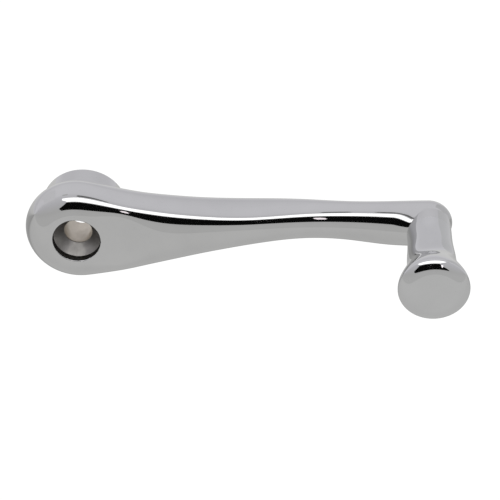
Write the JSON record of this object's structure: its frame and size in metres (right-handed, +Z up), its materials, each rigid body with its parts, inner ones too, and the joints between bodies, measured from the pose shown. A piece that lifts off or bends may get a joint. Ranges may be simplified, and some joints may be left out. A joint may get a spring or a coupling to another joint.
{
  "type": "winch handle",
  "caption": "Chromed winch handle: round keyed hub, oval arm thin at the waist, and a mushroom knob that spins freely on a trapped spindle.",
  "frame": {"origin": "hub bore axis at the floor of the boss's rear socket, where the bore begins", "axes": "+X along the arm from the hub to the knob, +Y along the bore towards the winch, +Z up across the arm; the knob points along -Y"},
  "size_m": [0.2539, 0.0926, 0.0618],
  "materials": {
    "chromed_casting": "mirror-polished chrome plate",
    "polished_knob": "mirror-polished chrome plate",
    "bronze_sleeve": "machined bronze, slightly dulled",
    "stainless_spindle": "turned stainless steel",
    "stainless_fixings": "machined stainless steel",
    "nylon_bush": "natural nylon",
    "bronze_washer": "flat turned bronze",
    "spring_steel": "oiled spring steel",
    "rubber_seal": "black nitrile rubber"
  },
  "bodies": {
    "handle": {"crank_arm": "chromed_casting", "hub_sleeve": "bronze_sleeve", "spindle": "stainless_spindle", "seat_washer": "stainless_fixings", "spindle_lock_washer": "stainless_fixings", "spindle_nut": "stainless_fixings"},
    "knob": {"knob_shell": "polished_knob", "knob_front_bush": "nylon_bush", "knob_rear_bush": "nylon_bush", "thrust_washer_front": "bronze_washer", "thrust_washer_rear": "bronze_washer", "disc_spring": "spring_steel", "retaining_ring": "spring_steel", "knob_seal": "rubber_seal"}
  },
  "joints": [
    {"name": "knob_spin", "type": "hinge", "parent": "handle", "child": "knob", "pos_m": [0.203, -0.056, 0], "axis": [0, 1, 0], "continuous": true}
  ]
}
